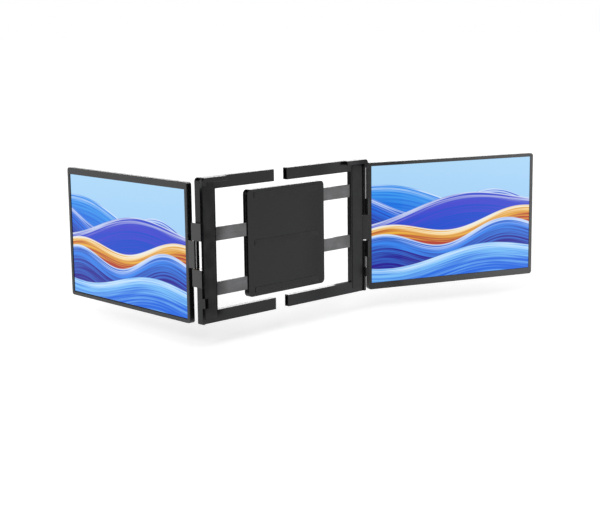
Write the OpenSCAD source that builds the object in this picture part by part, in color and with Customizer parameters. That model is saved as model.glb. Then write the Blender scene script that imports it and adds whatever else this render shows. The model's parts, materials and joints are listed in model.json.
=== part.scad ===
// Laptop screen extender: a two-part frame that grips a laptop's lid from behind and
// carries one screen on each side on a friction hinge.
// X runs to the right, Y away from the person, Z up. The origin lies on the face of the
// centre pad that the back of the lid rests on. Lengths are in millimetres.

/* [Laptop lid] */
// Width of the lid that the frame is drawn out to
lid_w = 304.1; // [300:0.1:330]
// Room between the front and the back pads, for the lid's thickness
lid_gap = 4.6; // [4.2:0.1:8]
// Side play between the lid's edge and the frame's lip
lid_side_play = 0.25; // [0.2:0.05:1]

/* [Frame] */
// Height of each frame half
frame_h = 191; // [180:1:210]
// Width of the upright column behind the lid, lip included
column_w = 28; // [26:1:34]
// Height of the top and bottom bars
bar_h = 16; // [14:1:20]
// Distance of the left bars' inner ends from the middle
left_bar_end = 22.7; // [10:0.1:40]
// Distance of the right bars' inner ends from the middle
right_bar_end = 1.5; // [0:0.1:20]
// Thickness of the lip and the clamp's wall beside the lid
side_wall = 3.7; // [3:0.1:6]
// How far the lip stands forward beside the lid
lip_reach = 1.6; // [0.8:0.1:2.4]
// Depth of the frame shell behind the pads, without its cover
shell_depth = 6.8; // [6.6:0.1:9]
// Wall thickness of the frame shell
shell_wall = 1.6; // [1.2:0.1:2]
// Thickness of the cover at the back of each frame half
frame_cover_t = 1.2; // [1:0.1:2]
// Radius of the frame's top outer corners
frame_corner_r = 5; // [3:0.5:7]
// Radius of the frame's bottom outer corners
frame_low_corner_r = 1.5; // [1:0.5:5]
// Thickness of the soft pads that touch the lid
pad_t = 0.6; // [0.4:0.1:1.2]

/* [Corner clamps and clips] */
// Length of the clamp along the top of the lid
clamp_len = 42.7; // [30:0.1:60]
// Height of the wall over the lid's top edge
clamp_top_wall = 4.9; // [3.6:0.1:6]
// Height of the clamp's front tab
clamp_tab_h = 6.4; // [5.6:0.1:9]
// Width of the clamp's short upright leg
clamp_leg_w = 7.4; // [6:0.1:10]
// Height of the clamp's short upright leg
clamp_leg_h = 12; // [9:0.5:18]
// Thickness of the front tabs
tab_t = 1.6; // [1.2:0.1:2.4]
// Thickness of the soft pads behind the front tabs
tab_pad_t = 0.8; // [0.5:0.1:1]
// Height of the lower side clip
clip_h = 13; // [9:0.5:18]
// Width of the lower side clip's front tab
clip_w = 5.8; // [5:0.1:8]
// Distance of the lower side clip's middle below the frame's middle
clip_drop = 66.9; // [62:0.1:72]

/* [Slides] */
// Height of each sliding arm
arm_h = 18; // [14:1:20]
// Thickness of each sliding arm
arm_t = 2.5; // [2:0.1:3]
// Distance of the outer arms above and below the frame's middle
arm_outer_z = 52; // [50:1:54]
// Distance of the inner arms above and below the frame's middle
arm_inner_z = 20; // [18:1:22]
// Distance past the middle that each arm reaches
arm_overlap = 15; // [10:1:25]
// Outward travel of each half from the drawn position
travel_out = 45; // [20:1:48]
// Inward travel of each half from the drawn position
travel_in = 7.7; // [4:0.1:9]
// Gap round everything that slides
slide_gap = 0.3; // [0.2:0.05:0.5]

/* [Centre panel] */
// Width of the centre panel
panel_w = 144; // [140:1:160]
// Height of the centre panel
panel_h = 144; // [138:1:150]
// Thickness of the centre panel's cover
panel_cover_t = 4.2; // [4.2:0.1:6]
// Radius of the centre panel's corners
panel_corner_r = 6; // [3:0.5:10]
// Radius of the stop posts that run in the arms' slots
stop_r = 2; // [1.5:0.1:2.5]
// Distance of the stop posts from the middle
stop_x = 50; // [46:1:56]

/* [Kickstand] */
// Length of the kickstand's leg from its pin
stand_len = 90; // [70:1:94]
// Width of the kickstand's leg
stand_w = 40; // [24:1:60]
// Thickness of the kickstand's leg
stand_t = 3; // [2.6:0.1:3]
// Distance of the kickstand's pin below the frame's middle
stand_drop = 58; // [52:1:60]
// Radius of the kickstand's pin
stand_pin_r = 0.8; // [0.7:0.05:0.9]
// Length of the rubber foot past the leg
stand_foot_h = 2; // [1.5:0.1:3]

/* [Hinges] */
// Distance of each hinge axis inside the frame's side face
axis_in = 1; // [0.8:0.05:1.4]
// Distance of each hinge axis behind the lid's back
axis_back = 9.2; // [9:0.1:10.5]
// Distance of the hinges' middle below the frame's middle
hinge_drop = 4; // [0:0.5:8]
// Radius of the round barrel on each screen
barrel_r = 4; // [3.6:0.1:4.2]
// Height of the barrel between the ears
barrel_h = 36; // [30:1:40]
// Height of each ear
ear_h = 23; // [20:0.5:24]
// Thickness of each ear's wall outside the frame
ear_wall = 3.8; // [3.4:0.1:4.2]
// How far the ears stand forward of the lid's back
ear_reach = 5.9; // [4:0.1:6]
// Radius of the hinge pin
pin_r = 1.5; // [1.2:0.1:1.8]
// Thickness of each friction washer
washer_t = 0.6; // [0.4:0.1:1]
// Left screen's swing back from flat, in degrees
left_swing = 93; // [60:1:110]
// Right screen's swing towards the person from flat, in degrees
right_swing = 20.5; // [0:0.5:45]

/* [Screens] */
// Width of each screen unit
screen_w = 280.4; // [240:0.1:300]
// Height of each screen unit
screen_h = 185; // [176:0.1:200]
// Thickness of each screen unit
screen_t = 8.5; // [8.2:0.1:8.6]
// Radius of the screen unit's corners
screen_corner_r = 4; // [2:0.5:8]
// Furthest swing of a screen towards the person from flat, in degrees
forward_limit = 45; // [30:1:46]
// Width of the frame beside the picture
side_bezel = 5.2; // [4.6:0.1:9]
// Height of the frame at the picture's narrow edge
narrow_bezel = 5; // [4.6:0.1:9]
// Height of the frame at the picture's wide edge
wide_bezel = 9.4; // [6:0.1:14]
// Thickness of the front bezel
bezel_t = 1; // [0.8:0.1:1.2]
// Wall thickness of the rear case's edges
case_wall = 1.6; // [1.4:0.1:1.8]
// Wall thickness of the rear case's back
case_back = 1.5; // [1.3:0.1:1.5]
// Thickness of the liquid crystal panel
lcd_t = 1; // [0.8:0.1:1]
// Thickness of the backlight
backlight_t = 1.2; // [1:0.1:1.2]
// Thickness of the metal support plate
support_t = 0.5; // [0.4:0.1:0.5]
// Overlap of the panel behind the bezel, all round
lcd_lap = 1.3; // [1:0.1:1.6]
// Length of each cooling slot in the back
vent_len = 14; // [8:1:18]
// Width of each cooling slot in the back
vent_w = 1.6; // [1:0.1:2]
// Cooling slots in each row
vent_count = 9; // [4:1:12]

/* [Sockets and buttons] */
// Outer width of a socket's metal shell
socket_w = 8.94; // [8.8:0.02:9.2]
// Outer height of a socket's metal shell
socket_h = 3.16; // [3:0.02:3.16]
// Depth of a socket
socket_len = 7.3; // [6.5:0.1:8]
// Wall thickness of a socket's metal shell
socket_wall = 0.3; // [0.2:0.05:0.3]
// Spacing between the two sockets
socket_pitch = 15; // [13:0.5:20]
// Distance of the first socket from the screen's middle height
socket_z = 30; // [24:1:40]
// Length of a button
button_len = 9; // [7:0.5:11]
// Width of a button
button_w = 2; // [1.6:0.1:2.2]
// How far a button stands out of the case
button_out = 0.8; // [0.7:0.1:1.2]
// Travel of a button
button_travel = 0.5; // [0.3:0.1:0.5]
// Spacing between the buttons
button_pitch = 14; // [13:0.5:18]
// Distance of the first button from the screen's middle height
button_z = 22; // [18:1:30]
// Thickness of the driver board
board_t = 0.8; // [0.6:0.1:1]
// Width of the driver board
board_w = 26; // [20:1:34]

/* [Screws] */
// Shank radius of the small screws
small_screw_r = 0.8; // [0.6:0.05:0.9]
// Head radius of the small screws
small_head_r = 1.3; // [1.1:0.05:1.35]
// Shank radius of the large screws
large_screw_r = 1.25; // [1:0.05:1.4]
// Head radius of the large screws
large_head_r = 2.2; // [1.8:0.05:2.3]
// Height of the screw heads
head_t = 1; // [0.8:0.1:1.1]

/* [Hidden] */
$fn = 48;
eps = 0.01;
seat_gap = 0.02;      // fixed pins, screws and washers in their holes
run_gap = 0.05;       // turning parts on their pins
part_gap = 0.3;       // moving parts past their neighbours
lid_half = lid_w / 2;
lip_x = lid_half + lid_side_play;
side_x = lip_x + side_wall;
frame_top = frame_h / 2;
shell_y = pad_t;
pocket_y = shell_y + shell_wall;
cover_y = shell_y + shell_depth;
frame_back = cover_y + frame_cover_t;
column_x = side_x - column_w;
seat_z = frame_top - clamp_top_wall;
tab_back_y = -lid_gap - tab_pad_t;
tab_front_y = tab_back_y - tab_t;
clip_z = -clip_drop;

axis_x = side_x - axis_in;
hinge_z = -hinge_drop;
ear_side_x = side_x + ear_wall;
ear_in_z = barrel_h / 2 + part_gap + washer_t;
ear_end_z = ear_in_z + ear_h;
ear_root = 4.6;       // ear's metal on the inner side of the axis
ear_edge_r = 1.2;
notch_w = 12;
notch_x = side_x - notch_w;
solid_x = notch_x - shell_wall;
bracket_w = 20;       // from the frame's side face to the bracket's far edge
bracket_x = side_x - bracket_w;
bracket_t = 2.4;
strap_w = 6.5;        // upright that joins the bracket's two ears
strap_x = bracket_x + strap_w;

arm_y = pocket_y;
arm_back_y = arm_y + arm_t;
arm_root_x = solid_x - part_gap;
slot_half = stop_r + slide_gap;
panel_y = pad_t;
panel_in_y = arm_y - slide_gap;
panel_cover_y = arm_back_y + slide_gap;
panel_back = panel_cover_y + panel_cover_t;
rib_t = 2;

stand_y = panel_back - 0.2 - stand_t / 2;
stand_z = -stand_drop;
stand_ear = 3.5;      // metal either side of the leg that holds its pin
recess_floor_y = stand_y - stand_t / 2 - 0.2;
recess_gap = 0.5;
recess_drop = 6;
finger_r = 9;

// The screen's edge clears the ear's side at the forward limit
toe_gap = 0.68;
screen_gap = (axis_in + ear_wall + toe_gap + sin(forward_limit) * screen_t / 2) / cos(forward_limit);
case_front_y = -screen_t / 2 + bezel_t;
case_in_y = screen_t / 2 - case_back;
lcd_back_y = case_front_y + lcd_t;
light_back_y = lcd_back_y + backlight_t;
support_back_y = light_back_y + support_t;
far_x = screen_gap + screen_w;
mid_x = screen_gap + screen_w / 2;
picture_w = screen_w - 2 * side_bezel;
picture_h = screen_h - narrow_bezel - wide_bezel;
picture_z = (wide_bezel - narrow_bezel) / 2;
lcd_w = picture_w + 2 * lcd_lap;
lcd_h = picture_h + 2 * lcd_lap;
plate_t = 2;
plate_len = 24;
plate_end_x = screen_gap + case_wall + plate_len;
port_y = (support_back_y + case_in_y) / 2;
board_x = far_x - case_wall - board_w - 1;
board_y = port_y - board_t / 2;
board_low_z = -socket_z - socket_pitch - socket_w;
board_high_z = button_z + 2 * button_pitch + button_len;
button_flange = 0.7;
button_in_x = far_x - case_wall - part_gap - button_flange;
post_r = 2.6;

// How far screws and pads sit in from the edges beside them
panel_post_in_x = 7;
panel_post_in_z = 5.5;
panel_pad_in_x = 12;
panel_pad_in_z = 8;
panel_pad_half = 4;
lid_pad_low = 6;
lid_pad_high = 8;
pad_in = 2;
frame_post_in = 10;
arm_screw_outer_in = 5;
arm_screw_inner_in = 3.5;
bracket_screw_x = 2.5;
bracket_screw_near = 6;
bracket_screw_far = 5;
clamp_screw_end = 8;
clamp_screw_corner = 14;
clamp_screw_up = 1.4;
knuckle_screw_near = 3;
knuckle_screw_far = 4;
knuckle_screw_z = 5;
screw_end_gap = 0.2;

// Chips on the driver board, from its inner edge: [x, z] of one corner, then of the other
chips = [[4, -12, 16, 4], [3, 24, 11, 32]];
switch_w = 6;         // switches behind the buttons
switch_half = 2;
board_slot = 1;       // room round the buttons in the board's edge

// ---- helpers ----

// Extrudes an outline drawn in X and Z from one depth to another
module slab(y0, y1) {
    translate([0, y1, 0]) rotate([90, 0, 0]) linear_extrude(y1 - y0) children();
}

// A rectangle from one corner to the other, for outlines
module rect(x0, z0, x1, z1) {
    translate([x0, z0]) square([x1 - x0, z1 - z0]);
}

// A rectangle with round corners, as true arcs
module round_rect(x0, z0, x1, z1, r) {
    rect(x0 + r, z0, x1 - r, z1);
    rect(x0, z0 + r, x1, z1 - r);
    for (x = [x0 + r, x1 - r], z = [z0 + r, z1 - r]) translate([x, z]) circle(r);
}

// A rectangle whose two right-hand corners are round
module side_round_rect(x0, z0, x1, z1, top_r, low_r) {
    rect(x0, z0, x1 - low_r, z1 - top_r);
    rect(x0, z0 + low_r, x1 - top_r, z1);
    rect(x0, z0 + low_r, x1, z1 - top_r);
    translate([x1 - top_r, z1 - top_r]) circle(top_r);
    translate([x1 - low_r, z0 + low_r]) circle(low_r);
}

// A box from one corner to the other
module block(x0, y0, z0, x1, y1, z1) {
    translate([x0, y0, z0]) cube([x1 - x0, y1 - y0, z1 - z0]);
}

// A round bar or hole along Y
module rod_y(x, z, y0, y1, r) {
    translate([x, y1, z]) rotate([90, 0, 0]) cylinder(h = y1 - y0, r = r);
}

// A round bar or hole along Z
module rod_z(x, y, z0, z1, r) {
    translate([x, y, z0]) cylinder(h = z1 - z0, r = r);
}

// A screw along Y: its head ends at y1 and its shank reaches y0
module screw_y(x, z, y0, y1, r, head_r) {
    rod_y(x, z, y0, y1 - head_t, r);
    rod_y(x, z, y1 - head_t, y1, head_r);
}

module left_side() {
    mirror([1, 0, 0]) children();
}

// Puts a screen unit on its hinge: it is drawn with its axis at the origin, facing -Y,
// and reaches along +X. The left unit is the same unit turned upside down.
module right_screen() {
    translate([axis_x, axis_back, hinge_z]) rotate([0, 0, -right_swing]) children();
}
module left_screen() {
    translate([-axis_x, axis_back, hinge_z]) rotate([0, 0, -left_swing])
        rotate([0, 180, 0]) children();
}

// ---- centre panel ----

// Heights of each half's arms: the left half is the right one turned over
right_arm_z = [arm_outer_z, -arm_inner_z];
left_arm_z = -right_arm_z;

// Corners where the cover is screwed down
panel_post_x = panel_w / 2 - panel_post_in_x;
panel_post_z = panel_h / 2 - panel_post_in_z;

module panel_outline() {
    round_rect(-panel_w / 2, -panel_h / 2, panel_w / 2, panel_h / 2, panel_corner_r);
}

module arm_channel(side, z) {
    half = arm_h / 2 + slide_gap;
    block(-panel_w / 2 + rib_t, panel_in_y, z - half, panel_w / 2 - rib_t, panel_cover_y + eps, z + half);
    end = side * panel_w / 2;
    block(min(0, end + side), panel_in_y, z - half, max(0, end + side), panel_cover_y + eps, z + half);
}

// Hollow between two channels, closed by a rib on either side
module panel_pocket(z0, z1) {
    block(-panel_w / 2 + rib_t, panel_in_y, z0, panel_w / 2 - rib_t, panel_cover_y + eps, z1);
}

module centre_panel() {
    reach = arm_h / 2 + slide_gap + rib_t;
    color("#2f2f31") {
        difference() {
            slab(panel_y, panel_cover_y) panel_outline();
            for (z = right_arm_z) arm_channel(1, z);
            for (z = left_arm_z) arm_channel(-1, z);
            panel_pocket(arm_inner_z + reach, arm_outer_z - reach);
            panel_pocket(reach - arm_inner_z, arm_inner_z - reach);
            panel_pocket(reach - arm_outer_z, -arm_inner_z - reach);
            for (x = [-panel_post_x, panel_post_x], z = [-panel_post_z, panel_post_z])
                rod_y(x, z, panel_in_y, panel_cover_y + eps, small_screw_r + seat_gap);
        }
        for (z = right_arm_z) rod_y(stop_x, z, panel_in_y - eps, panel_cover_y, stop_r);
        for (z = left_arm_z) rod_y(-stop_x, z, panel_in_y - eps, panel_cover_y, stop_r);
    }
}

module centre_cover() {
    half = stand_w / 2 + recess_gap;
    top = stand_z + stand_len + stand_foot_h + recess_gap;
    color("#343436") difference() {
        slab(panel_cover_y, panel_back) panel_outline();
        slab(recess_floor_y, panel_back + eps) {
            round_rect(-half, stand_z - recess_drop, half, top, 1);
            translate([0, top]) circle(finger_r);
        }
        translate([-half - stand_ear, stand_y, stand_z]) rotate([0, 90, 0])
            cylinder(h = 2 * (half + stand_ear), r = stand_pin_r + seat_gap);
        for (x = [-panel_post_x, panel_post_x], z = [-panel_post_z, panel_post_z]) {
            rod_y(x, z, panel_cover_y - eps, panel_back, small_screw_r + seat_gap);
            rod_y(x, z, panel_back - head_t, panel_back + eps, small_head_r + seat_gap);
        }
    }
}

module panel_pads() {
    color("#1b1b1c") slab(0, pad_t) {
        half = panel_w / 2 - panel_pad_in_x;
        top = panel_h / 2 - panel_pad_in_z;
        for (z = [-top, 0, top]) round_rect(-half, z - panel_pad_half, half, z + panel_pad_half, pad_in);
    }
}

module panel_screws() {
    color("#5a5a5c")
        for (x = [-panel_post_x, panel_post_x], z = [-panel_post_z, panel_post_z])
            screw_y(x, z, panel_in_y + screw_end_gap, panel_back, small_screw_r, small_head_r);
}

module kickstand_pin() {
    half = stand_w / 2 + recess_gap + stand_ear - screw_end_gap;
    color("#8c8c8f") translate([-half, stand_y, stand_z]) rotate([0, 90, 0])
        cylinder(h = 2 * half, r = stand_pin_r);
}

module kickstand() {
    heel = stand_t / 2;
    color("#3c3c3f") difference() {
        union() {
            slab(stand_y - heel, stand_y + heel)
                rect(-stand_w / 2, stand_z, stand_w / 2, stand_z + stand_len);
            translate([-stand_w / 2, stand_y, stand_z]) rotate([0, 90, 0])
                cylinder(h = stand_w, r = heel);
        }
        translate([-stand_w / 2 - eps, stand_y, stand_z]) rotate([0, 90, 0])
            cylinder(h = stand_w + 2 * eps, r = stand_pin_r + run_gap);
    }
}

module kickstand_foot() {
    top = stand_z + stand_len;
    color("#161617") slab(stand_y - stand_t / 2, stand_y + stand_t / 2)
        rect(-stand_w / 2 + pad_in, top, stand_w / 2 - pad_in, top + stand_foot_h);
}

// ---- frame halves, drawn for the right side; bar_end is where the bars end ----

module frame_outline(bar_end) {
    intersection() {
        union() {
            rect(column_x, -frame_top, side_x, frame_top);
            rect(bar_end, frame_top - bar_h, side_x, frame_top);
            rect(bar_end, -frame_top, side_x, bar_h - frame_top);
        }
        side_round_rect(bar_end - 1, -frame_top, side_x, frame_top, frame_corner_r, frame_low_corner_r);
    }
}

// Hollow of the shell. It runs out through the bars' inner ends.
module frame_pocket(bar_end) {
    w = shell_wall;
    inner_top = frame_top - w;
    low = hinge_z - ear_end_z - w;
    high = hinge_z + ear_end_z + w;
    intersection() {
        union() {
            rect(column_x + w, -inner_top, solid_x, inner_top);
            rect(column_x + w, high, side_x - w, inner_top);
            rect(column_x + w, -inner_top, side_x - w, low);
            rect(bar_end - 1, frame_top - bar_h + w, side_x - w, inner_top);
            rect(bar_end - 1, -inner_top, side_x - w, bar_h - frame_top - w);
        }
        side_round_rect(bar_end - 2, -inner_top, side_x - w, inner_top, frame_corner_r - w,
            max(frame_low_corner_r - w, slide_gap));
    }
}

// Where the cover is screwed to the shell, as [x, z]
function post_spots(bar_end) = [
    for (x = [bar_end, column_x], s = [-1, 1]) [x + frame_post_in, s * (frame_top - bar_h / 2)]
];

// Where the sliding arms are screwed to the shell, as [x, z]
function arm_screw_spots(arms) = [
    for (x = [column_x + arm_screw_outer_in, arm_root_x - arm_screw_inner_in], z = arms) [x, z]
];

// Where the hinge bracket is screwed to the shell, as [x, z]
function bracket_screw_spots() = [
    for (s = [-1, 1], z = [ear_in_z + bracket_screw_near, ear_end_z - bracket_screw_far])
        [notch_x + bracket_screw_x, hinge_z + s * z]
];

// Where the corner clamp is screwed to the top bar, as [x, z]
function clamp_screw_spots() = [
    for (x = [clamp_screw_end - clamp_len, -clamp_screw_corner]) [side_x + x, seat_z + clamp_screw_up]
];

// Room for the hinge: a notch for the barrel and a step for each ear
module hinge_room() {
    low = hinge_z - ear_in_z;
    high = hinge_z + ear_in_z;
    block(lip_x, -lid_gap, low, side_x + 1, frame_back + 1, high);
    block(notch_x, pocket_y, low, side_x + 1, frame_back + 1, high);
    ear_x = axis_x - ear_root;
    for (z = [hinge_z - ear_end_z, high])
        block(ear_x, axis_back - barrel_r - 0.4, z, side_x + 1, frame_back + 1, z + ear_h);
}

module frame_shell(bar_end, arms) {
    color("#3b3b3e") difference() {
        union() {
            difference() {
                slab(shell_y, cover_y) frame_outline(bar_end);
                slab(pocket_y, cover_y + eps) frame_pocket(bar_end);
            }
            slab(-lip_reach, shell_y) intersection() {
                frame_outline(bar_end);
                rect(lip_x, -frame_top, side_x, frame_top);
            }
            slab(tab_front_y, -lip_reach)
                rect(lip_x, clip_z - clip_h / 2, side_x, clip_z + clip_h / 2);
            slab(tab_front_y, tab_back_y)
                rect(side_x - clip_w, clip_z - clip_h / 2, lip_x, clip_z + clip_h / 2);
            for (p = post_spots(bar_end)) rod_y(p[0], p[1], pocket_y - eps, cover_y, post_r);
        }
        hinge_room();
        for (z = arms)
            block(column_x - eps, arm_y, z - arm_h / 2 - seat_gap, column_x + shell_wall + eps,
                arm_back_y + seat_gap, z + arm_h / 2 + seat_gap);
        for (p = post_spots(bar_end))
            rod_y(p[0], p[1], pocket_y + 0.5, cover_y + eps, small_screw_r + seat_gap);
        for (p = arm_screw_spots(arms))
            rod_y(p[0], p[1], shell_y + 0.4, pocket_y + eps, small_screw_r + seat_gap);
        for (p = bracket_screw_spots())
            rod_y(p[0], p[1], pocket_y, cover_y + eps, large_screw_r + seat_gap);
        for (p = clamp_screw_spots())
            rod_y(p[0], p[1], shell_y - eps, pocket_y + eps, small_screw_r + seat_gap);
    }
}

module frame_cover(bar_end) {
    color("#38383b") difference() {
        slab(cover_y, frame_back) frame_outline(bar_end);
        hinge_room();
        for (p = post_spots(bar_end)) {
            rod_y(p[0], p[1], cover_y - eps, frame_back, small_screw_r + seat_gap);
            rod_y(p[0], p[1], frame_back - head_t, frame_back + eps, small_head_r + seat_gap);
        }
        for (p = bracket_screw_spots())
            rod_y(p[0], p[1], cover_y - eps, frame_back + eps, large_screw_r + seat_gap);
    }
}

// The clamp's outline: a hook along the lid's top and round its corner
module clamp_front() {
    start = side_x - clamp_len;
    intersection() {
        union() {
            rect(start, frame_top - clamp_tab_h, side_x, frame_top);
            rect(side_x - clamp_leg_w, frame_top - clamp_leg_h, side_x, frame_top);
        }
        round_rect(start - 2 * frame_corner_r, -frame_top, side_x, frame_top, frame_corner_r);
    }
}

module corner_clamp() {
    start = side_x - clamp_len;
    color("#3e3e41") difference() {
        union() {
            slab(tab_front_y, tab_back_y) clamp_front();
            slab(tab_back_y - eps, -lip_reach) intersection() {
                clamp_front();
                union() {
                    rect(start, seat_z, side_x, frame_top);
                    rect(lip_x, -frame_top, side_x, frame_top);
                }
            }
            slab(-lip_reach - eps, shell_y) intersection() {
                clamp_front();
                rect(start, seat_z, lip_x, frame_top);
            }
        }
        for (p = clamp_screw_spots())
            rod_y(p[0], p[1], tab_front_y + tab_t, shell_y + eps, small_screw_r + seat_gap);
    }
}

module clamp_pads() {
    leg_x = side_x - clamp_leg_w;
    color("#1b1b1c") {
        slab(0, pad_t) {
            round_rect(column_x + pad_in, lid_pad_low - frame_top, notch_x + notch_w / 2,
                frame_top - lid_pad_high, pad_in);
        }
        slab(tab_back_y, tab_back_y + tab_pad_t) {
            rect(side_x - clamp_len + pad_in, frame_top - clamp_tab_h + 0.2, leg_x, seat_z - 0.2);
            rect(leg_x + 0.2, frame_top - clamp_leg_h + 0.2, lip_x - 0.2, seat_z - 0.2);
            rect(side_x - clip_w + 0.2, clip_z - clip_h / 2 + 0.3, lip_x - 0.2, clip_z + clip_h / 2 - 0.3);
        }
    }
}

module slide_arms(arms) {
    inner = -arm_overlap;
    color("#77777a") difference() {
        for (z = arms)
            slab(arm_y, arm_back_y) rect(inner, z - arm_h / 2, arm_root_x, z + arm_h / 2);
        for (z = arms)
            slab(arm_y - eps, arm_back_y + eps) {
                rect(stop_x - travel_out, z - slot_half, stop_x + travel_in, z + slot_half);
                translate([stop_x - travel_out, z]) circle(slot_half);
                translate([stop_x + travel_in, z]) circle(slot_half);
            }
        for (p = arm_screw_spots(arms))
            rod_y(p[0], p[1], arm_y - eps, arm_back_y + eps, small_screw_r + seat_gap);
    }
}

// One ear seen from above: a wall outside the frame and a block round the axis
module ear_outline() {
    back = axis_back + barrel_r;
    front = axis_back - barrel_r - 0.4;
    union() {
        rect(side_x, -ear_reach, ear_side_x, back - ear_edge_r);
        rect(axis_x - ear_root, front, ear_side_x, back - ear_edge_r);
        rect(axis_x - ear_root, front, ear_side_x - ear_edge_r, back);
        translate([ear_side_x - ear_edge_r, back - ear_edge_r]) circle(ear_edge_r);
        rect(bracket_x, frame_back, axis_x - ear_root, frame_back + bracket_t);
    }
}

module hinge_bracket() {
    color("#505053") difference() {
        union() {
            for (z = [hinge_z - ear_end_z, hinge_z + ear_in_z])
                translate([0, 0, z]) linear_extrude(ear_h) ear_outline();
            slab(frame_back, frame_back + bracket_t)
                rect(bracket_x, hinge_z - ear_end_z, strap_x, hinge_z + ear_end_z);
        }
        rod_z(axis_x, axis_back, hinge_z - ear_end_z - eps, hinge_z + ear_end_z + eps, pin_r + seat_gap);
        for (p = bracket_screw_spots()) {
            rod_y(p[0], p[1], frame_back - eps, frame_back + bracket_t, large_screw_r + seat_gap);
            rod_y(p[0], p[1], frame_back + bracket_t - head_t, frame_back + bracket_t + eps,
                large_head_r + seat_gap);
        }
    }
}

module hinge_pin() {
    color("#8c8c8f")
        rod_z(axis_x, axis_back, hinge_z - ear_end_z + 0.3, hinge_z + ear_end_z - 0.3, pin_r);
}

module hinge_washers() {
    color("#a08248") for (z = [hinge_z - ear_in_z, hinge_z + ear_in_z - washer_t]) difference() {
        rod_z(axis_x, axis_back, z, z + washer_t, barrel_r - 0.4);
        rod_z(axis_x, axis_back, z - eps, z + washer_t + eps, pin_r + seat_gap);
    }
}

module frame_screws(bar_end, arms) {
    color("#5a5a5c") {
        for (p = post_spots(bar_end))
            screw_y(p[0], p[1], pocket_y + 0.7, frame_back, small_screw_r, small_head_r);
        for (p = arm_screw_spots(arms))
            screw_y(p[0], p[1], shell_y + 0.6, arm_back_y + head_t, small_screw_r, small_head_r);
        for (p = bracket_screw_spots())
            screw_y(p[0], p[1], pocket_y + screw_end_gap, frame_back + bracket_t, large_screw_r,
                large_head_r);
        for (p = clamp_screw_spots())
            screw_y(p[0], p[1], tab_back_y + screw_end_gap, pocket_y + head_t, small_screw_r, small_head_r);
    }
}

// ---- screen unit, drawn on its axis: it faces -Y and reaches along +X ----

function socket_spots() = [for (i = [0, 1]) -socket_z - i * socket_pitch];
function button_spot(i) = button_z + i * button_pitch;

module screen_outline(inset) {
    round_rect(screen_gap + inset, -screen_h / 2 + inset, far_x - inset, screen_h / 2 - inset,
        screen_corner_r - inset);
}

// A slot with round ends along Z, cut or raised along X, for sockets and buttons
module edge_pill(x0, x1, z, len, width) {
    r = width / 2;
    translate([x0, port_y, z]) rotate([90, 0, 90]) linear_extrude(x1 - x0) {
        square([width, len - width], center = true);
        for (s = [-1, 1]) translate([0, s * (len / 2 - r)]) circle(r);
    }
}

module vent_rows() {
    pitch = screen_w / 3 / vent_count;
    for (row = [-1, 1], i = [0 : vent_count - 1]) {
        x = mid_x + (i - (vent_count - 1) / 2) * pitch;
        z = row * screen_h / 3.6;
        slab(case_in_y - eps, screen_t / 2 + eps)
            round_rect(x - vent_w / 2, z - vent_len / 2, x + vent_w / 2, z + vent_len / 2, vent_w / 2 - eps);
    }
}

module rear_case() {
    plate_half = barrel_h / 2;
    color("#29292b") difference() {
        slab(case_front_y, screen_t / 2) screen_outline(0);
        slab(case_front_y - eps, case_in_y) screen_outline(case_wall);
        block(screen_gap - eps, support_back_y - seat_gap, -plate_half - seat_gap,
            screen_gap + case_wall + eps, support_back_y + plate_t + seat_gap, plate_half + seat_gap);
        for (z = socket_spots())
            edge_pill(far_x - case_wall - eps, far_x + eps, z, socket_w + 0.2, socket_h + 0.2);
        for (i = [0 : 2])
            edge_pill(far_x - case_wall - eps, far_x + eps, button_spot(i),
                button_len + 2 * part_gap, button_w + 2 * part_gap);
        vent_rows();
    }
}

module bezel() {
    color("#4a4a4e") slab(-screen_t / 2, case_front_y) difference() {
        screen_outline(0);
        rect(mid_x - picture_w / 2, picture_z - picture_h / 2, mid_x + picture_w / 2,
            picture_z + picture_h / 2);
    }
}

// The stack behind the bezel, from one depth to another
module screen_layer(y0, y1) {
    slab(y0, y1) rect(mid_x - lcd_w / 2, picture_z - lcd_h / 2, mid_x + lcd_w / 2, picture_z + lcd_h / 2);
}

module lcd_panel() {
    color("#5aa0e0") screen_layer(case_front_y, lcd_back_y);
}

module backlight() {
    color("#e8e8e4") screen_layer(lcd_back_y, light_back_y);
}

module support_plate() {
    color("#9a9a9c") difference() {
        screen_layer(light_back_y, support_back_y);
        for (p = knuckle_screw_spots())
            rod_y(p[0], p[1], light_back_y - eps, support_back_y + eps, small_screw_r + seat_gap);
    }
}

module driver_board() {
    color("#1f5c3a") difference() {
        union() {
            slab(board_y, board_y + board_t)
                rect(board_x, board_low_z, board_x + board_w, board_high_z);
            for (c = chips)
                block(board_x + c[0], support_back_y, c[1], board_x + c[2], board_y + eps, c[3]);
            for (i = [0 : 2])
                block(board_x + board_w - switch_w, board_y - 0.3, button_spot(i) - switch_half,
                    button_in_x - part_gap - button_travel, board_y + board_t + 0.3,
                    button_spot(i) + switch_half);
        }
        for (z = socket_spots())
            block(far_x - socket_len - seat_gap, board_y - eps, z - socket_w / 2 - seat_gap,
                far_x + eps, board_y + board_t + eps, z + socket_w / 2 + seat_gap);
        for (i = [0 : 2])
            block(button_in_x - part_gap - button_travel, board_y - board_slot,
                button_spot(i) - button_len / 2 - board_slot, far_x, board_y + board_t + board_slot,
                button_spot(i) + button_len / 2 + board_slot);
    }
}

module usb_sockets() {
    w = socket_wall;
    color("#a9a9ac") for (z = socket_spots()) {
        difference() {
            edge_pill(far_x - socket_len, far_x - 0.1, z, socket_w, socket_h);
            edge_pill(far_x - socket_len + w, far_x + eps, z, socket_w - 2 * w, socket_h - 2 * w);
        }
        block(far_x - socket_len + w - eps, port_y - 0.35, z - 3, far_x - 1.2, port_y + 0.35, z + 3);
    }
}

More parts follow.
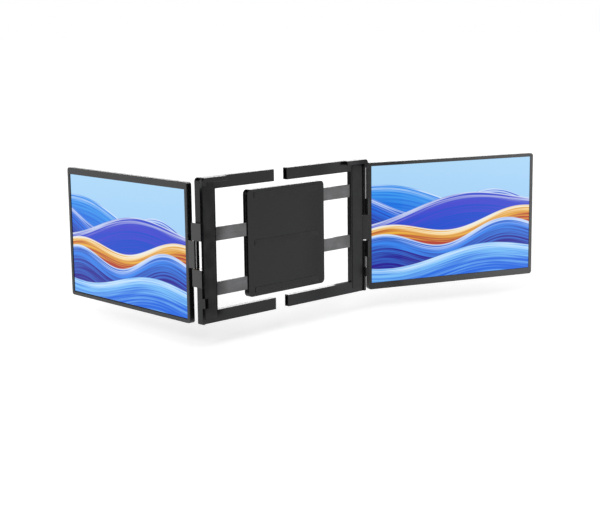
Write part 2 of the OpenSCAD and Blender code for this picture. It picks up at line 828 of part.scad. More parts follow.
// Where the knuckle's plate is screwed to the support plate, as [x, z]
function knuckle_screw_spots() = [
    for (x = [screen_gap + side_bezel + knuckle_screw_near, plate_end_x - knuckle_screw_far], s = [-1, 1])
        [x, s * (barrel_h / 2 - knuckle_screw_z)]
];

module knuckle() {
    half = barrel_h / 2;
    color("#505053") difference() {
        union() {
            rod_z(0, 0, -half, half, barrel_r);
            block(0, -barrel_r, -half, screen_gap, barrel_r, half);
            block(screen_gap - eps, support_back_y, -half, plate_end_x, support_back_y + plate_t, half);
        }
        rod_z(0, 0, -half - eps, half + eps, pin_r + run_gap);
        for (p = knuckle_screw_spots()) {
            rod_y(p[0], p[1], support_back_y - eps, support_back_y + plate_t, small_screw_r + seat_gap);
            rod_y(p[0], p[1], support_back_y + plate_t - head_t, support_back_y + plate_t + eps,
                small_head_r + seat_gap);
        }
    }
}

module knuckle_screws() {
    color("#5a5a5c") for (p = knuckle_screw_spots())
        screw_y(p[0], p[1], light_back_y + 0.05, support_back_y + plate_t, small_screw_r, small_head_r);
}

// Buttons 0, 1 and 2 from the middle of the edge outwards
module edge_button(i) {
    z = button_spot(i);
    color("#2a2a2c") {
        edge_pill(button_in_x, far_x + button_out, z, button_len, button_w);
        edge_pill(button_in_x, button_in_x + button_flange, z, button_len + 1.6, button_w + 0.9);
    }
}

// ---- what is drawn ----

centre_panel();
centre_cover();
panel_pads();
panel_screws();
kickstand_pin();
kickstand();
kickstand_foot();

left_side() frame_shell(left_bar_end, left_arm_z);  // left_frame_shell
left_side() frame_cover(left_bar_end);  // left_frame_cover
left_side() corner_clamp();  // left_corner_clamp
left_side() clamp_pads();  // left_clamp_pads
left_side() slide_arms(left_arm_z);  // left_slide_arms
left_side() hinge_bracket();  // left_hinge_bracket
left_side() hinge_pin();  // left_hinge_pin
left_side() hinge_washers();  // left_hinge_washers
left_side() frame_screws(left_bar_end, left_arm_z);  // left_frame_screws

frame_shell(right_bar_end, right_arm_z);  // right_frame_shell
frame_cover(right_bar_end);  // right_frame_cover
corner_clamp();  // right_corner_clamp
clamp_pads();  // right_clamp_pads
slide_arms(right_arm_z);  // right_slide_arms
hinge_bracket();  // right_hinge_bracket
hinge_pin();  // right_hinge_pin
hinge_washers();  // right_hinge_washers
frame_screws(right_bar_end, right_arm_z);  // right_frame_screws

left_screen() rear_case();  // left_rear_case
left_screen() bezel();  // left_bezel
left_screen() lcd_panel();  // left_lcd_panel
left_screen() backlight();  // left_backlight
left_screen() support_plate();  // left_support_plate
left_screen() driver_board();  // left_driver_board
left_screen() usb_sockets();  // left_usb_sockets
left_screen() knuckle();  // left_knuckle
left_screen() knuckle_screws();  // left_knuckle_screws
left_screen() edge_button(0);  // left_power_button
left_screen() edge_button(1);  // left_plus_button
left_screen() edge_button(2);  // left_minus_button

right_screen() rear_case();  // right_rear_case
right_screen() bezel();  // right_bezel
right_screen() lcd_panel();  // right_lcd_panel
right_screen() backlight();  // right_backlight
right_screen() support_plate();  // right_support_plate
right_screen() driver_board();  // right_driver_board
right_screen() usb_sockets();  // right_usb_sockets
right_screen() knuckle();  // right_knuckle
right_screen() knuckle_screws();  // right_knuckle_screws
right_screen() edge_button(0);  // right_power_button
right_screen() edge_button(1);  // right_plus_button
right_screen() edge_button(2);  // right_minus_button
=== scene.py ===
# %% [markdown]
# # A pair of side displays on a sliding frame
#
# The object is a thin black frame in two halves that slide apart on flat steel arms. Its
# corner clamps and soft pads grip from behind, and each half carries one display on a
# stiff friction hinge. The exact solids are already packed, so this lesson only dresses
# them: rounded shells, finishes, a picture on each display and the studio round it.
# Everything is in metres, X to the right, Y away, Z up.

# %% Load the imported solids
import json
import math
import bmesh
import bpy
from mathutils import Matrix, Vector


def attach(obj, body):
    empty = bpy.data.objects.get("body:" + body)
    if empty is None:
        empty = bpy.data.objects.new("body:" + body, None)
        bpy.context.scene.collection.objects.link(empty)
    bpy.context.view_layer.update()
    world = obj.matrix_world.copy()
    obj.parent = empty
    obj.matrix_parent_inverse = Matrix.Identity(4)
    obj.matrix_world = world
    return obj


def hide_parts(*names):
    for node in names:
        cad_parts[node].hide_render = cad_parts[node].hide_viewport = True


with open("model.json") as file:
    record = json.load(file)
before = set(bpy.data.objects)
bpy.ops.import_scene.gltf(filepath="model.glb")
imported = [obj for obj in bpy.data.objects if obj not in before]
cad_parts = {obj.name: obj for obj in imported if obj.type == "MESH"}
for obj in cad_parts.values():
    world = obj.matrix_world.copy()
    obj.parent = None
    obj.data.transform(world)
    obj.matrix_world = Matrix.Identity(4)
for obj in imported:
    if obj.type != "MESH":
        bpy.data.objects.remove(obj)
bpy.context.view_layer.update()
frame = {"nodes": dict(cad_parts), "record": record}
nodes = frame["nodes"]
scene = bpy.context.scene
MM = 0.001
SIDES = ("left", "right")
scene.view_settings.view_transform = "Standard"

# %% [markdown]
# ## The camera
# The view is from well to the left through a fairly long lens, so upright edges stay
# nearly upright and the two displays shrink only a little with distance. A camera placed
# by eye drifts by many pixels, so its place and focal length were worked out from
# straight edges whose real lengths are known.

# %% Camera
IMAGE_WIDTH = 600
HALF_PIXEL = 0.5 / IMAGE_WIDTH
FOCAL_IN_PIXELS = 1368.7
SENSOR = 36.0
CAMERA_PLACE = Vector((-1.2818, -1.3176, 0.2904))
CAMERA_LOOK = Vector((0.69301, 0.69909, -0.17610))
CAMERA_UP = Vector((0.13310, 0.11600, 0.98429))

lens = bpy.data.cameras.new("camera")
lens.sensor_width = SENSOR
lens.lens = FOCAL_IN_PIXELS / IMAGE_WIDTH * SENSOR
camera = bpy.data.objects.new("camera", lens)
turned = Matrix((CAMERA_LOOK.cross(CAMERA_UP), CAMERA_UP, -CAMERA_LOOK)).transposed()
camera.rotation_euler = turned.to_euler()
camera.location = CAMERA_PLACE
lens.shift_x = -HALF_PIXEL
lens.shift_y = -HALF_PIXEL
scene.collection.objects.link(camera)
scene.camera = camera
print("camera lens", round(lens.lens, 2), "mm")

# %% [markdown]
# ## Building materials from nodes
# A material is a small graph, and the same few moves come back in every one. Short
# helpers keep the cells that follow readable: they add a node and fill its sockets, do
# arithmetic on sockets, carry a value from one range to another, and mix two colours.
# Procedural patterns were chosen over image files because they stay sharp at any
# distance and travel with the file.

# %% Add nodes and fill their sockets
def feed(tree, socket, value):
    """Links a socket to another one, or sets it to a plain value."""
    if isinstance(value, bpy.types.NodeSocket):
        tree.links.new(value, socket)
    else:
        socket.default_value = value


def add(tree, kind, settings=None, **sockets):
    """Adds a node, sets its properties, and feeds its sockets by name."""
    node = tree.nodes.new("ShaderNode" + kind)
    for name, value in (settings or {}).items():
        setattr(node, name, value)
    for name, value in sockets.items():
        feed(tree, node.inputs[name.replace("_", " ")], value)
    return node


def new_material(name):
    """An empty material: its tree, its output and the object's own coordinates."""
    material = bpy.data.materials.new(name)
    material.use_nodes = True
    tree = material.node_tree
    tree.nodes.clear()
    output = add(tree, "OutputMaterial")
    place = add(tree, "TexCoord").outputs["Object"]
    return material, tree, output, place


print("node helpers ready")


# %% Arithmetic on numbers, places and colours
def calc(tree, operation, *values):
    """Arithmetic on numbers and sockets, as one Math node."""
    node = add(tree, "Math", {"operation": operation})
    for socket, value in zip(node.inputs, values):
        feed(tree, socket, value)
    return node.outputs[0]


def vector_calc(tree, operation, first, second):
    """The same for places and directions, as one Vector Math node."""
    node = add(tree, "VectorMath", {"operation": operation})
    feed(tree, node.inputs[0], first)
    feed(tree, node.inputs[1], second)
    return node.outputs["Value" if operation == "DOT_PRODUCT" else "Vector"]


def spread(tree, value, low, high, to_low, to_high, smooth=False):
    """Carries a value from one range to another and holds it at the ends."""
    kind = "SMOOTHSTEP" if smooth else "LINEAR"
    node = add(tree, "MapRange", {"interpolation_type": kind}, Value=value, From_Min=low,
               From_Max=high, To_Min=to_low, To_Max=to_high)
    return node.outputs["Result"]


NOISE_LOW, NOISE_HIGH = 0.3, 0.7


def spread_noise(tree, noise, to_low, to_high):
    """Spreads a noise, which seldom leaves 0.3 to 0.7, over another range."""
    return spread(tree, noise, NOISE_LOW, NOISE_HIGH, to_low, to_high)


def grey(level, blue=0.0):
    """A neutral colour, with a touch more blue where it is asked for."""
    return (level, level, level + blue, 1.0)


def blend_colours(tree, share, first, second):
    """Mixes two colours by a share from 0 to 1."""
    node = add(tree, "Mix", {"data_type": "RGBA"})
    for number, value in ((0, share), (6, first), (7, second)):
        feed(tree, node.inputs[number], value)
    return node.outputs[2]


print("arithmetic helpers ready")

# %% [markdown]
# ## Moulded and painted black
# Nearly all that shows is black. The frame and cases are moulded in a fine spark-eroded
# grain, the hinge castings are painted, and the display surrounds are smoother. All of
# them are one recipe: a dark colour with a slow cloudy drift, a grain in the relief, and
# paler edges, partly worn by handling and partly a painted highlight. The edges could be
# painted by hand as a mask. Comparing the true normal with a rounded one finds them with
# no mask at all.

# %% Find the edges
FLAT_MATCH, EDGE_MATCH = 0.995, 0.8


def edge_share(tree, radius):
    """A rounded normal, and a share that is 0 on flats and up to 1 on edges."""
    rounded = add(tree, "Bevel", {"samples": 4}, Radius=radius).outputs[0]
    flat = add(tree, "NewGeometry").outputs["Normal"]
    match = vector_calc(tree, "DOT_PRODUCT", rounded, flat)
    return rounded, spread(tree, match, FLAT_MATCH, EDGE_MATCH, 0.0, 1.0)


print("edge finder ready")

# %% Recipe for a black finish
MOULDED_EDGE = 0.5 * MM
DRIFT_SCALE, DRIFT_GAIN = 18.0, 1.35
WEAR_AND_HIGHLIGHT_SHARE = 0.5
ROUGHNESS_SWING = 0.05
POLISH = -0.06
COAT_ROUGHNESS = 0.12


def black_finish(name, colour, wear_and_highlight, roughness, grain, depth, shine, coat):
    """A dark moulded or painted surface: drift, grain, and edges paler from wear and a
    painted highlight.
    """
    material, tree, output, place = new_material(name)
    drift = add(tree, "TexNoise", Vector=place, Scale=DRIFT_SCALE, Detail=3.0).outputs[0]
    speckle = add(tree, "TexNoise", Vector=place, Scale=grain, Detail=2.0).outputs[0]
    rounded, edge = edge_share(tree, MOULDED_EDGE)
    drifted = blend_colours(tree, spread_noise(tree, drift, 0.0, 1.0), colour,
                            tuple(c * DRIFT_GAIN for c in colour[:3]) + (1.0,))
    # Edges are mixed toward the paler colour: partly wear, partly a painted highlight.
    coloured = blend_colours(tree, calc(tree, "MULTIPLY", edge, WEAR_AND_HIGHLIGHT_SHARE), drifted, wear_and_highlight)
    grained = spread_noise(tree, speckle, roughness - ROUGHNESS_SWING,
                           roughness + ROUGHNESS_SWING)
    rough = calc(tree, "ADD", grained, calc(tree, "MULTIPLY", edge, POLISH))
    relief = add(tree, "Bump", Strength=0.5, Distance=depth, Height=speckle, Normal=rounded)
    shader = add(tree, "BsdfPrincipled", Base_Color=coloured, Roughness=rough,
                 Normal=relief.outputs[0])
    shader.inputs["Specular IOR Level"].default_value = shine
    shader.inputs["Coat Weight"].default_value = coat
    shader.inputs["Coat Roughness"].default_value = COAT_ROUGHNESS
    tree.links.new(shader.outputs[0], output.inputs[0])
    return material


print("black recipe ready")

# %% The black finishes of the object
# Each row: colour, edge colour (wear and painted highlight), roughness, grain, relief in
# mm, shine, coat
BLACKS = {
    "frame_black": (grey(0.0022, 0.0002), grey(0.03, 0.002), 0.25, 2600, 0.01, 0.33, 0.0),
    "case_black": (grey(0.0022, 0.0002), grey(0.03, 0.002), 0.28, 2200, 0.02, 0.42, 0.0),
    "bezel_black": (grey(0.015, 0.001), grey(0.07, 0.004), 0.30, 3200, 0.01, 0.40, 0.0),
    "hinge_black": (grey(0.003), grey(0.06, 0.003), 0.20, 900, 0.01, 0.5, 0.35),
    "button_black": (grey(0.006), grey(0.05), 0.22, 2600, 0.01, 0.5, 0.0),
    "stand_metal": (grey(0.012, 0.001), grey(0.12, 0.004), 0.34, 1800, 0.01, 0.5, 0.0),
}
finish = {}
for name, (colour, wear_and_highlight, roughness, grain, relief, shine, coat) in BLACKS.items():
    finish[name] = black_finish(name, colour, wear_and_highlight, roughness, grain, relief * MM, shine,
                                coat)
print("black finishes", sorted(finish))

# %% [markdown]
# ## Rubber, metals and the board
# The pads are soft rubber, quite matt and a little dusty. The sliding arms, plates, pins
# and sockets are ground or rolled metal, which shows as fine lines along one direction.
# An image of brushed metal would repeat; noise squeezed along that direction never does.
# The driver board is green varnish over copper, where a brick pattern stands for the
# runs of copper, and the backlight is a white sheet with a fine pattern of dots.

# %% Rubber
def rubber_finish(name):
    """Matt rubber with fine pores and a veil of dust."""
    material, tree, output, place = new_material(name)
    dust = add(tree, "TexNoise", Vector=place, Scale=60.0, Detail=4.0).outputs[0]
    pores = add(tree, "TexVoronoi", Vector=place, Scale=1500.0).outputs["Distance"]
    colour = blend_colours(tree, spread(tree, dust, 0.4, 0.8, 0.0, 1.0), grey(0.012),
                           grey(0.03))
    relief = add(tree, "Bump", Strength=0.6, Distance=0.04 * MM, Height=pores)
    shader = add(tree, "BsdfPrincipled", Base_Color=colour,
                 Roughness=spread_noise(tree, dust, 0.7, 0.9), Normal=relief.outputs[0])
    tree.links.new(shader.outputs[0], output.inputs[0])
    return material


finish["pad_rubber"] = rubber_finish("pad_rubber")
print("rubber pads done")

# %% Recipe for ground and rolled metal
METAL_EDGE = 0.3 * MM
METAL_SWING = 0.08


def metal_finish(name, colour, shade, roughness, stretch):
    """Fine lines along X, Y or Z: stretch is how far each axis is squeezed."""
    material, tree, output, place = new_material(name)
    lined = add(tree, "Mapping", Vector=place, Scale=stretch).outputs[0]
    lines = add(tree, "TexNoise", Vector=lined, Scale=900.0, Detail=3.0).outputs[0]
    stain = add(tree, "TexNoise", Vector=place, Scale=45.0, Detail=3.0).outputs[0]
    rounded, edge = edge_share(tree, METAL_EDGE)
    base = blend_colours(tree, spread(tree, stain, 0.35, 0.75, 0.0, 1.0), colour, shade)
    # Edges are painted paler toward light grey: partly wear, partly a painted highlight.
    bright = blend_colours(tree, calc(tree, "MULTIPLY", edge, 0.4), base, grey(0.85))
    relief = add(tree, "Bump", Strength=0.35, Distance=0.01 * MM, Height=lines,
                 Normal=rounded)
    rough = spread_noise(tree, lines, roughness - METAL_SWING, roughness + METAL_SWING)
    shader = add(tree, "BsdfPrincipled", Base_Color=bright, Metallic=1.0, Roughness=rough,
                 Normal=relief.outputs[0])
    tree.links.new(shader.outputs[0], output.inputs[0])
    return material


print("metal recipe ready")

# %% The metals of the object
# Each row: colour, colour of its stains, roughness, direction of the lines
ALONG_X = (0.02, 1.0, 1.0)
ALONG_Z = (1.0, 1.0, 0.02)
BRASS, BRASS_STAIN = (0.17, 0.12, 0.06, 1.0), (0.10, 0.07, 0.04, 1.0)
METALS = {
    "arm_steel": (grey(0.16, 0.005), grey(0.11), 0.34, ALONG_X),
    "pin_steel": (grey(0.55), grey(0.42), 0.28, ALONG_Z),
    "screw_black": (grey(0.10), grey(0.06), 0.36, ALONG_Z),
    "support_steel": (grey(0.5), grey(0.4), 0.4, ALONG_Z),
    "socket_steel": (grey(0.55), grey(0.42), 0.3, ALONG_X),
    "washer_brass": (BRASS, BRASS_STAIN, 0.4, ALONG_X),
}
for name, row in METALS.items():
    finish[name] = metal_finish(name, *row)
print("metals done", sorted(METALS))


# %% Board and diffuser
def board_finish(name):
    """Green varnish over runs of copper."""
    material, tree, output, place = new_material(name)
    runs = add(tree, "TexBrick", Vector=place, Scale=260.0, Mortar_Size=0.06,
               Color1=(0.01, 0.10, 0.04, 1.0), Color2=(0.01, 0.07, 0.03, 1.0),
               Mortar=(0.03, 0.22, 0.09, 1.0))
    relief = add(tree, "Bump", Strength=0.4, Distance=0.03 * MM, Height=runs.outputs["Fac"])
    shader = add(tree, "BsdfPrincipled", Base_Color=runs.outputs["Color"], Roughness=0.3,
                 Normal=relief.outputs[0])
    tree.links.new(shader.outputs[0], output.inputs[0])
    return material


def diffuser_finish(name):
    """A white sheet with the dots that send the light forward."""
    material, tree, output, place = new_material(name)
    dots = add(tree, "TexVoronoi", Vector=place, Scale=700.0).outputs["Distance"]
    colour = blend_colours(tree, spread(tree, dots, 0.1, 0.5, 0.0, 1.0), grey(0.85),
                           (0.78, 0.79, 0.76, 1.0))
    shader = add(tree, "BsdfPrincipled", Base_Color=colour, Roughness=0.5)
    tree.links.new(shader.outputs[0], output.inputs[0])
    return material


finish["board_green"] = board_finish("board_green")
finish["backlight_white"] = diffuser_finish("backlight_white")
print("board and diffuser done")

# %% [markdown]
# ## The lit picture
# A display gives light, so its picture is an emission and not a paint. The picture here
# is this lesson's own: a pale blue sky over rolling hills of blue and violet, with one
# warm band between them. Each hill is a wave drawn in the display's own width and height.
# It glows along its crest, deepens below, and carries fine silky streaks that follow the
# crest. A stack of such waves was chosen because each is only a sine, a ramp and a noise.

# %% Waves of the picture, from the back to the front
# Each row: height, swing, waves across, phase, tilt, fall, crest colour, colour below
SKY = ((0.42, 0.68, 0.93, 1.0), (0.28, 0.56, 0.90, 1.0))
WAVES = (
    (0.80, 0.06, 0.9, 0.10, -0.26, 0.20, (0.05, 0.34, 0.88, 1), (0.01, 0.16, 0.74, 1)),
    (0.68, 0.10, 1.1, 0.42, -0.06, 0.26, (0.02, 0.17, 0.80, 1), (0.02, 0.02, 0.30, 1)),
    (0.58, 0.08, 0.8, 0.80, 0.10, 0.24, (0.06, 0.06, 0.62, 1), (0.004, 0.07, 0.60, 1)),
    (0.42, 0.06, 1.2, 0.15, 0.10, 0.12, (1.00, 0.62, 0.06, 1), (0.45, 0.05, 0.03, 1)),
    (0.33, 0.08, 1.3, 0.18, 0.08, 0.24, (0.04, 0.24, 0.86, 1), (0.02, 0.01, 0.28, 1)),
    (0.17, 0.06, 0.9, 0.62, 0.05, 0.20, (0.20, 0.54, 0.95, 1), (0.008, 0.13, 0.74, 1)),
)
print("picture of", len(WAVES), "waves")

# %% Paint one wave over what lies behind it
STREAKS_ALONG, STREAKS_DOWN, STREAK_LAYER = 2.2, 75.0, 9.0
STREAK_DEPTH = 0.55
GLOW_DEPTH, GLOW_STRENGTH = 0.07, 0.80
GLOW_COLOUR = (0.80, 0.91, 1.0, 1.0)
CREST_ABOVE, CREST_BELOW = -0.002, 0.004


def paint_wave(tree, across, up, behind, wave):
    """One hill: its crest, the streaks and ramp below it, and the glow along it."""
    height, swing, turns, phase, tilt, fall, crest_colour, low_colour = wave
    turn = calc(tree, "MULTIPLY_ADD", across, turns * math.tau, phase * math.tau)
    ridge = calc(tree, "MULTIPLY_ADD", across, tilt, height)
    crest = calc(tree, "MULTIPLY_ADD", calc(tree, "SINE", turn), swing, ridge)
    depth = calc(tree, "SUBTRACT", crest, up)
    silk = add(tree, "CombineXYZ", X=calc(tree, "MULTIPLY", across, STREAKS_ALONG),
               Y=calc(tree, "MULTIPLY", depth, STREAKS_DOWN),
               Z=STREAK_LAYER * phase).outputs[0]
    streak = add(tree, "TexNoise", Vector=silk, Scale=1.0, Detail=3.0).outputs[0]
    shade = calc(tree, "ADD", spread(tree, depth, 0.0, fall, 0.05, 0.95, smooth=True),
                 spread_noise(tree, streak, -STREAK_DEPTH, STREAK_DEPTH))
    body = blend_colours(tree, spread(tree, shade, 0.0, 1.0, 0.0, 1.0), crest_colour,
                         low_colour)
    near_crest = spread(tree, depth, 0.0, GLOW_DEPTH, GLOW_STRENGTH, 0.0, smooth=True)
    gleam = calc(tree, "MULTIPLY", near_crest, spread(tree, streak, 0.42, 0.58, 1.0, 0.0))
    lit = blend_colours(tree, gleam, body, GLOW_COLOUR)
    return blend_colours(tree, spread(tree, depth, CREST_ABOVE, CREST_BELOW, 0.0, 1.0),
                         behind, lit)


print("wave recipe ready")

# %% [markdown]
# ### The display's face
# Around the lit picture a display has a thin rim that never lights. Here a dark line is
# painted along the left and lower edges only: partly that rim, partly painted shade where
# the surround's step shades the picture. The rim could be a strip of mesh, but it lies in
# the same sheet of glass, so the picture's own shader switches to black there. The glass
# is smooth and mirrors only a little, as an anti-glare face does.

# %% Recipe for the display's face
RIM_AND_SHADE_BLACK = grey(0.001)
GLASS_BLACK = grey(0.002)
GLASS_SHINE = 0.14
PICTURE_GLOW = 1.0


def picture_finish(name, corner, across_way, width, height, rim):
    """The picture, laid out from the display's lower left corner as it is looked at."""
    material, tree, output, place = new_material(name)
    from_corner = vector_calc(tree, "SUBTRACT", place, corner)
    across = vector_calc(tree, "DOT_PRODUCT", from_corner, across_way / width)
    up = vector_calc(tree, "DOT_PRODUCT", from_corner, Vector((0, 0, 1)) / height)
    colour = blend_colours(tree, up, SKY[1], SKY[0])
    for wave in WAVES:
        colour = paint_wave(tree, across, up, colour, wave)
    # Black along the left and lower edges: partly the unlit rim, partly painted shade of
    # the surround's step.
    inside = calc(tree, "MULTIPLY", calc(tree, "GREATER_THAN", across, rim / width),
                  calc(tree, "GREATER_THAN", up, rim / height))
    colour = blend_colours(tree, inside, RIM_AND_SHADE_BLACK, colour)
    pixels = add(tree, "TexNoise", Vector=place, Scale=4000.0, Detail=0.0).outputs[0]
    shader = add(tree, "BsdfPrincipled", Base_Color=GLASS_BLACK,
                 Roughness=spread_noise(tree, pixels, 0.16, 0.22), Emission_Color=colour)
    shader.inputs["Emission Strength"].default_value = PICTURE_GLOW
    shader.inputs["Specular IOR Level"].default_value = GLASS_SHINE
    tree.links.new(shader.outputs[0], output.inputs[0])
    return material


print("picture recipe ready")

# %% [markdown]
# ### Where the picture lies
# The two displays are turned to different angles, so their pictures can't use the world's
# X and Y. Each picture's width direction follows from the angle its display stands at,
# and its corner and size are then measured along that direction on the panel's own mesh.
# An unwrapped map would do as well, but measuring keeps the picture exact and level.
# Both pictures stand upright and read from left to right, seen from in front of them.

# %% Directions across the two displays, seen from in front
SWING = {"left": math.radians(93.0), "right": math.radians(20.5)}
ACROSS = {side: Vector((math.cos(SWING[side]), -math.sin(SWING[side]), 0))
          for side in SIDES}
FRONT = {side: ACROSS[side].cross(Vector((0, 0, 1))) for side in SIDES}
print("left picture faces", [round(v, 3) for v in FRONT["left"]])

# %% Measure each display and give it its picture
UNDER_BEZEL = 1.3 * MM
# Width of the dark line: the part under the surround, then the unlit rim and painted shade.
DARK_RIM_WIDTH = {"left": UNDER_BEZEL + 1.1 * MM, "right": UNDER_BEZEL + 0.3 * MM}
for side in SIDES:
    points = [v.co for v in nodes[side + "_lcd_panel"].data.vertices]
    start = min(points, key=lambda p: p.dot(ACROSS[side]))
    end = max(points, key=lambda p: p.dot(ACROSS[side]))
    low, high = min(p.z for p in points), max(p.z for p in points)
    width = (end - start).dot(ACROSS[side])
    corner = Vector((start.x, start.y, low))
    finish[side + "_lcd_panel"] = picture_finish(side + "_picture", corner, ACROSS[side],
                                                 width, high - low, DARK_RIM_WIDTH[side])
    print(side, "picture", round(width / MM, 1), "by", round((high - low) / MM, 1), "mm")

# %% [markdown]
# ## Rounded shells
# Moulded and cast shells are never quite sharp: a mould needs a small radius, and it is
# that radius which draws a thin bright line along each edge. The solids are drawn sharp,
# so the shells that show get a copy with real rounded edges. The copy could be modelled
# again from nothing, but starting from the solid keeps every size exact: its triangles
# are merged back into whole faces, the long outer edges are picked, and only those are
# bevelled. Weighted normals then keep the big faces flat to the eye.

# %% What each node belongs to
bodies = frame["record"]["behaviour"]["bodies"]
body_of = {name: body for body, names in bodies.items() for name in names}
slots = {s["node"]: s["material_slot"] for s in frame["record"]["subparts"]}

# %% Merge triangles back into whole faces
SAME_POINT = 0.001 * MM
SAME_FACE = math.radians(0.3)


def whole_faces(mesh):
    """Merges the solid's triangles back into flat faces."""
    bmesh.ops.remove_doubles(mesh, verts=mesh.verts, dist=SAME_POINT)
    bmesh.ops.dissolve_limit(mesh, angle_limit=SAME_FACE, verts=mesh.verts,
                             edges=mesh.edges)
    mesh.normal_update()


print("face tool ready")

# %% Find the outline edges of one face
ON_FACE = 0.01 * MM
NEARLY_SQUARE = math.radians(8)


def joined_runs(edges):
    """Sorts edges into runs that touch each other."""
    left, runs = set(edges), []
    while left:
        run, ends = [], [left.pop()]
        while ends:
            edge = ends.pop()
            run.append(edge)
            near = {e for v in edge.verts for e in v.link_edges} & left
            left -= near
            ends += near
        runs.append(run)
    return runs


def outline_edges(mesh, way, least_reach):
    """Square outer edges of the face that lies furthest along way, small holes left out."""
    furthest = max(v.co.dot(way) for v in mesh.verts)
    edges = [e for e in mesh.edges if len(e.link_faces) == 2 and e.is_convex
             and all(furthest - v.co.dot(way) < ON_FACE for v in e.verts)
             and abs(e.calc_face_angle() - math.pi / 2) < NEARLY_SQUARE]
    kept = []
    for run in joined_runs(edges):
        places = [v.co for e in run for v in e.verts]
        reach = max((p - places[0]).length for p in places)
        if reach > least_reach:
            kept += run
    return kept


print("edge tools ready")

# %% Make a rounded copy of a shell
SHARP_ABOVE = math.radians(38)


def rounded_shell(name, radius, way, least_reach, steps=3):
    """A copy of one solid whose long edges on one side are rounded to a radius."""
    mesh = bmesh.new()
    mesh.from_mesh(nodes[name].data)
    whole_faces(mesh)
    picked = outline_edges(mesh, Vector(way), least_reach)
    bmesh.ops.bevel(mesh, geom=picked, offset=radius, offset_type="OFFSET",
                    segments=steps, profile=0.5, affect="EDGES", clamp_overlap=False)
    data = bpy.data.meshes.new(name + "_shell")
    mesh.to_mesh(data)
    mesh.free()
    data.polygons.foreach_set("use_smooth", [True] * len(data.polygons))
    data.set_sharp_from_angle(angle=SHARP_ABOVE)
    piece = bpy.data.objects.new(name + "_shell", data)
    scene.collection.objects.link(piece)
    flatten = piece.modifiers.new("flat faces", "WEIGHTED_NORMAL")
    flatten.keep_sharp = True
    piece.data.materials.append(finish[slots[name]])
    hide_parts(name)
    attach(piece, body_of[name])
    print(name, "rounded on", len(picked), "edges by", round(radius / MM, 2), "mm")


# %% Round the shells that show
TOWARD, AWAY = (0, -1, 0), (0, 1, 0)
LONG_EDGES, SHORT_EDGES = 60 * MM, 20 * MM
for side in SIDES:
    rounded_shell(side + "_bezel", 0.45 * MM, FRONT[side], LONG_EDGES)
    rounded_shell(side + "_rear_case", 0.4 * MM, -FRONT[side], LONG_EDGES)
    rounded_shell(side + "_corner_clamp", 1.1 * MM, TOWARD, SHORT_EDGES, steps=4)
    rounded_shell(side + "_frame_cover", 0.5 * MM, AWAY, SHORT_EDGES)

# %% [markdown]
# ## Dressing the solids
# The record says which finish each node takes. The nodes that have no rounded copy keep
# their own mesh, which is exact, and only get a material: a new mesh for each would add
# nothing that the eye finds at this scale.

# %% Give each node its finish
for name, piece in nodes.items():
    material = finish.get(name) or finish[slots[name]]
    piece.data.materials.clear()
    piece.data.materials.append(material)
print("dressed", len(nodes), "nodes")

# %% [markdown]
# ## The studio
# The object hangs a little above a white table, so only a soft shadow ties it to the
# table. White all round could come from strong lamps, but they would wash the black out.
# Here the table and the world add a share of light that only the camera and mirrors see,
# and the light on the object stays plain.

# %% Table
TABLE_Z = -0.131
TABLE_SIZE = 60.0
TABLE_GLOW = 0.45
bpy.ops.mesh.primitive_grid_add(x_subdivisions=2, y_subdivisions=2, size=TABLE_SIZE,
                                location=(0, 0, TABLE_Z))
table = bpy.context.object
table.name = "table"
material, tree, output, place = new_material("table_white")
mottle = add(tree, "TexNoise", Vector=place, Scale=3.0, Detail=3.0).outputs[0]
paint = blend_colours(tree, mottle, grey(0.79), grey(0.81))
surface = add(tree, "BsdfDiffuse", Color=paint)
seen = add(tree, "LightPath")
lit = calc(tree, "MAXIMUM", seen.outputs["Is Camera Ray"], seen.outputs["Is Glossy Ray"])
glow = add(tree, "Emission", Strength=calc(tree, "MULTIPLY", lit, TABLE_GLOW))
both = add(tree, "AddShader")
tree.links.new(surface.outputs[0], both.inputs[0])
tree.links.new(glow.outputs[0], both.inputs[1])
tree.links.new(both.outputs[0], output.inputs[0])
table.data.materials.append(material)
print("table at", TABLE_Z)

# %% White surroundings
FILL = 0.55
world = bpy.data.worlds.new("studio")
world.use_nodes = True
scene.world = world
tree = world.node_tree
tree.nodes.clear()
seen = add(tree, "LightPath")
direct = calc(tree, "MAXIMUM", seen.outputs["Is Camera Ray"], calc(
    tree, "MAXIMUM", seen.outputs["Is Glossy Ray"], seen.outputs["Is Transmission Ray"]))
strength = spread(tree, direct, 0.0, 1.0, FILL, 1.0)
sky = add(tree, "Background", Color=(1, 1, 1, 1), Strength=strength)
tree.links.new(sky.outputs[0], add(tree, "OutputWorld").inputs[0])
print("fill light", FILL)

# %% [markdown]
# ### Lamps
# Three soft suns light the object: one over the camera's shoulder, a very wide one from
# above, and a weak one low from behind that draws bright lines along the top edges. Area
# lamps would do too, but a sun is equally strong everywhere, so both displays, which
# stand far apart, are lit alike.

# %% Lamps
def soft_sun(name, toward, spread_degrees, strength):
    """A lamp so far off that it lights everything alike; its spread softens shadows."""
    light = bpy.data.lights.new(name, "SUN")
    light.angle = math.radians(spread_degrees)
    light.energy = strength
    lamp = bpy.data.objects.new(name, light)
    lamp.rotation_euler = Vector(toward).to_track_quat("-Z", "Y").to_euler()
    scene.collection.objects.link(lamp)


soft_sun("key", (0.75, 0.45, -0.55), 18, 0.8)
soft_sun("top", (0.1, 0.2, -1.0), 50, 0.5)
soft_sun("rim", (-0.66, -0.66, -0.30), 24, 0.35)
print("three lamps")

# %% [markdown]
# ### Cards for the gloss
# A glossy black surface has hardly any shade of its own: it shows what it mirrors. So a
# real studio stands black, grey and bright cards round such an object. Lamps could
# brighten a face too, but they would light the matt parts with it. These cards are seen
# by reflections alone, and camera, shadows and soft light pass through them. Each name
# says where its card stands and how bright it is. The graded one fades from one end to
# the other, which gives the right display's surround its slow change of tone.

# %% A card that only reflections see
CARD_HALF = 0.5
UNSEEN_BY = ("camera", "diffuse", "shadow", "transmission", "volume_scatter")


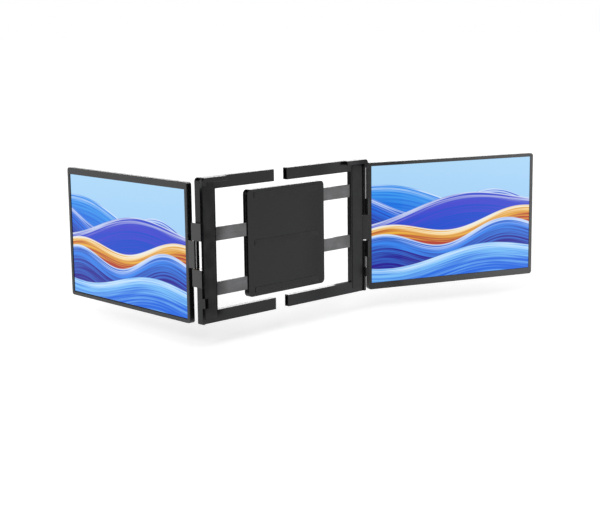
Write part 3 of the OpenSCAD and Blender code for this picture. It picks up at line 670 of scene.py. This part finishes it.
def card(name, centre, toward, width, height, level, far_level):
    """A flat card whose brightness runs from level at one end to far_level at the other."""
    bpy.ops.mesh.primitive_plane_add(size=1.0, location=centre)
    piece = bpy.context.object
    piece.name = name
    piece.scale = (width, height, 1.0)
    piece.rotation_euler = Vector(toward).to_track_quat("Z", "Y").to_euler()
    material, tree, output, place = new_material(name)
    along = add(tree, "SeparateXYZ", Vector=place).outputs["X"]
    graded = spread(tree, along, -CARD_HALF, CARD_HALF, level, far_level)
    cloth = add(tree, "TexNoise", Vector=place, Scale=40.0).outputs[0]
    strength = calc(tree, "MULTIPLY", graded, spread_noise(tree, cloth, 0.95, 1.05))
    glow = add(tree, "Emission", Color=grey(1.0), Strength=strength)
    tree.links.new(glow.outputs[0], output.inputs[0])
    piece.data.materials.append(material)
    for sight in UNSEEN_BY:
        setattr(piece, "visible_" + sight, False)


print("card recipe ready")

# %% Stand the cards round the object
# Each row: centre, the way it faces, width, height, level at one end and at the other
CARDS = {
    "front_black": ((-0.1365, -0.030, -0.0095), (0, 1, 0), 0.083, 0.171, 0.0, 0.0),
    "side_black": ((-0.210, 0.0015, -0.008), (1, 0, 0), 0.050, 0.105, 0.0, 0.0),
    "ceiling_black": ((-0.05, 0.2, 0.40), (0, 0, -1), 1.6, 1.6, 0.0, 0.0),
    "front_light": ((-0.443, -0.292, -0.05), (0.68, 0.73, 0), 0.15, 0.15, 6.5, 6.5),
    "front_grey": ((1.4, -3.2, 0.0), (-0.4, 0.9, 0.0), 4.5, 3.0, 0.62, 0.62),
    "gap_grey": ((0.163, 0.045, 0.0), (0, -1, 0), 0.050, 0.20, 0.3, 0.3),
    "right_graded": ((0.321, -0.168, -0.02), FRONT["right"], 0.35, 0.24, 0.45, 3.5),
    "right_low": ((0.207, -0.050, 0.0), (-0.73, 0.68, 0), 0.036, 0.20, 0.58, 0.58),
    "top_light": ((0.28, 0.08, 0.36), (0, 0, -1), 0.60, 0.24, 6.0, 6.0),
}
for name, row in CARDS.items():
    card(name, *row)
print(len(CARDS), "cards")

# %% [markdown]
# ## Done
# The dressed object has to stay as large as the solids.

# %% Done
print("dressing done")
